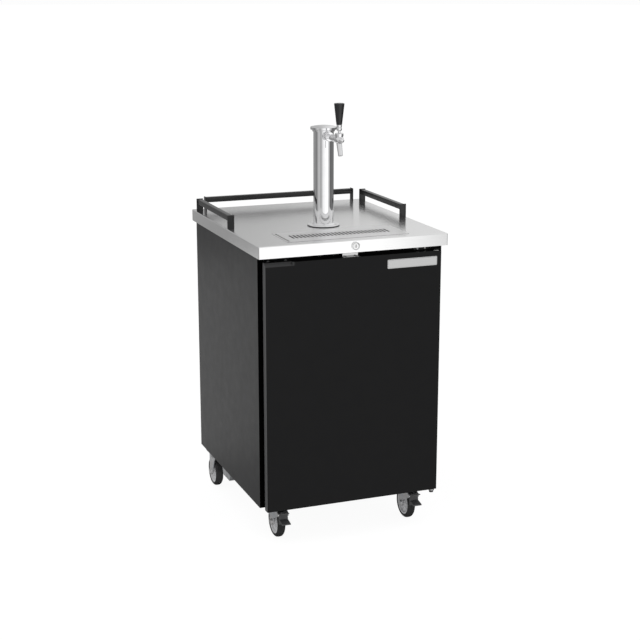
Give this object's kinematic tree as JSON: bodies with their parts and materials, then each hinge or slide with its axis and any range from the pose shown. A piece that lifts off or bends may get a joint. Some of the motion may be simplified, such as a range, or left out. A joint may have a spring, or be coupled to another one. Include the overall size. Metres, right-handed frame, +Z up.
{
  "type": "draft beer dispenser",
  "caption": "Wheeled keg cooler with a hinged door, steel worktop, drip tray, gallery rails and a chrome tap tower with a lever tap.",
  "frame": {"origin": "on the floor, under the middle of the outline", "axes": "+Z up, +X to the right as seen from the door, -Y towards the front"},
  "size_m": [0.6096, 0.7, 1.3405],
  "materials": {
    "worktop_steel": "fine brushed",
    "tray_steel": "brushed",
    "rail_black": "satin",
    "case_black": "satin",
    "rear_black": "satin",
    "frame_black": "matte",
    "galvanised": "spangled",
    "foam": "matte",
    "rubber_black": "matte",
    "chrome": "polished",
    "brass": "polished",
    "zinc": "zinc plated",
    "plate_silver": "satin",
    "bush_white": "satin",
    "handle_black": "satin",
    "compressor_black": "gloss",
    "coil": "satin",
    "fan_black": "satin",
    "wheel_grey": "satin",
    "tyre_black": "matte",
    "pedal_grey": "satin"
  },
  "bodies": {
    "cabinet": {"worktop": "worktop_steel", "drip_pan": "tray_steel", "rail_left": "rail_black", "rail_right": "rail_black", "rail_rear": "rail_black", "side_panel_left": "case_black", "side_panel_right": "case_black", "rear_panel": "rear_black", "front_frame": "frame_black", "base_pan": "galvanised", "condensate_pan": "galvanised", "inner_liner": "galvanised", "insulation": "foam", "rear_grommets": "rubber_black", "tower_gasket": "rubber_black", "tower_column": "chrome", "tower_cap": "chrome", "beer_shank": "chrome", "faucet_coupling": "chrome", "faucet_body": "chrome", "faucet_bonnet": "chrome", "lock_barrel": "chrome", "shank_nut": "brass", "top_hinge_bracket": "zinc", "bottom_hinge_bracket": "zinc", "caster_plates": "zinc", "evaporator_cover": "bush_white", "compressor": "compressor_black", "condenser": "coil"},
    "door": {"door_skin": "case_black", "door_foam": "foam", "door_liner": "galvanised", "door_gasket": "rubber_black", "door_strike": "zinc", "name_plate": "plate_silver", "hinge_bushes": "bush_white"},
    "lock": {"lock_plug": "chrome", "lock_cam": "zinc"},
    "tap": {"tap_lever": "chrome", "tap_ferrule": "chrome", "tap_handle": "handle_black"},
    "plunger": {"tap_plunger": "brass"},
    "grille": {"drip_grille": "tray_steel"},
    "cold_fan": {"evaporator_fan": "fan_black"},
    "warm_fan": {"condenser_fan": "fan_black"},
    "thermostat": {"thermostat_knob": "fan_black"},
    "caster_front_left": {"caster_fork_front_left": "zinc"},
    "wheel_front_left": {"wheel_hub_front_left": "wheel_grey", "tyre_front_left": "tyre_black"},
    "caster_front_right": {"caster_fork_front_right": "zinc"},
    "wheel_front_right": {"wheel_hub_front_right": "wheel_grey", "tyre_front_right": "tyre_black"},
    "caster_rear_left": {"caster_fork_rear_left": "zinc"},
    "wheel_rear_left": {"wheel_hub_rear_left": "wheel_grey", "tyre_rear_left": "tyre_black"},
    "caster_rear_right": {"caster_fork_rear_right": "zinc"},
    "wheel_rear_right": {"wheel_hub_rear_right": "wheel_grey", "tyre_rear_right": "tyre_black"},
    "pedal_front_left": {"brake_pedal_front_left": "pedal_grey"},
    "pedal_front_right": {"brake_pedal_front_right": "pedal_grey"}
  },
  "joints": [
    {"name": "door_hinge", "type": "hinge", "parent": "cabinet", "child": "door", "pos_m": [0.271, -0.3351, 0.508], "axis": [0, 0, 1], "range_deg": [0, 110]},
    {"name": "lock_turn", "type": "hinge", "parent": "cabinet", "child": "lock", "pos_m": [0, -0.346, 0.93], "axis": [0, 1, 0], "range_deg": [0, 90]},
    {"name": "tap_pull", "type": "hinge", "parent": "cabinet", "child": "tap", "pos_m": [0, -0.211, 1.243], "axis": [1, 0, 0], "range_deg": [0, 32]},
    {"name": "plunger_slide", "type": "slide", "parent": "cabinet", "child": "plunger", "axis": [0, 1, 0], "range_m": [0, 0.0068]},
    {"name": "grille_lift", "type": "slide", "parent": "cabinet", "child": "grille", "axis": [0, 0, 1], "range_m": [0, 0.06]},
    {"name": "cold_fan_spin", "type": "hinge", "parent": "cabinet", "child": "cold_fan", "pos_m": [0, 0.17, 0.591], "axis": [0, 1, 0], "continuous": true},
    {"name": "warm_fan_spin", "type": "hinge", "parent": "cabinet", "child": "warm_fan", "pos_m": [-0.215, 0.246, 0.219], "axis": [1, 0, 0], "continuous": true},
    {"name": "thermostat_turn", "type": "hinge", "parent": "cabinet", "child": "thermostat", "pos_m": [0.145, 0.145, 0.666], "axis": [0, 1, 0], "range_deg": [-135, 135]},
    {"name": "swivel_front_left", "type": "hinge", "parent": "cabinet", "child": "caster_front_left", "pos_m": [-0.222, -0.222, 0.11], "axis": [0, 0, 1], "continuous": true},
    {"name": "roll_front_left", "type": "hinge", "parent": "caster_front_left", "child": "wheel_front_left", "pos_m": [-0.222, -0.25, 0.0508], "axis": [1, 0, 0], "continuous": true},
    {"name": "brake_front_left", "type": "hinge", "parent": "caster_front_left", "child": "pedal_front_left", "pos_m": [-0.222, -0.306, 0.092], "axis": [1, 0, 0], "range_deg": [0, 10]},
    {"name": "swivel_front_right", "type": "hinge", "parent": "cabinet", "child": "caster_front_right", "pos_m": [0.222, -0.222, 0.11], "axis": [0, 0, 1], "continuous": true},
    {"name": "roll_front_right", "type": "hinge", "parent": "caster_front_right", "child": "wheel_front_right", "pos_m": [0.222, -0.25, 0.0508], "axis": [1, 0, 0], "continuous": true},
    {"name": "brake_front_right", "type": "hinge", "parent": "caster_front_right", "child": "pedal_front_right", "pos_m": [0.222, -0.306, 0.092], "axis": [1, 0, 0], "range_deg": [0, 10]},
    {"name": "swivel_rear_left", "type": "hinge", "parent": "cabinet", "child": "caster_rear_left", "pos_m": [-0.269, 0.222, 0.11], "axis": [0, 0, 1], "continuous": true},
    {"name": "roll_rear_left", "type": "hinge", "parent": "caster_rear_left", "child": "wheel_rear_left", "pos_m": [-0.269, 0.25, 0.0508], "axis": [1, 0, 0], "continuous": true},
    {"name": "swivel_rear_right", "type": "hinge", "parent": "cabinet", "child": "caster_rear_right", "pos_m": [0.269, 0.222, 0.11], "axis": [0, 0, 1], "continuous": true},
    {"name": "roll_rear_right", "type": "hinge", "parent": "caster_rear_right", "child": "wheel_rear_right", "pos_m": [0.269, 0.25, 0.0508], "axis": [1, 0, 0], "continuous": true}
  ],
  "couplings": [
    {"joint": "plunger_slide", "follows": "tap_pull", "m_per_rad": 0.012}
  ]
}
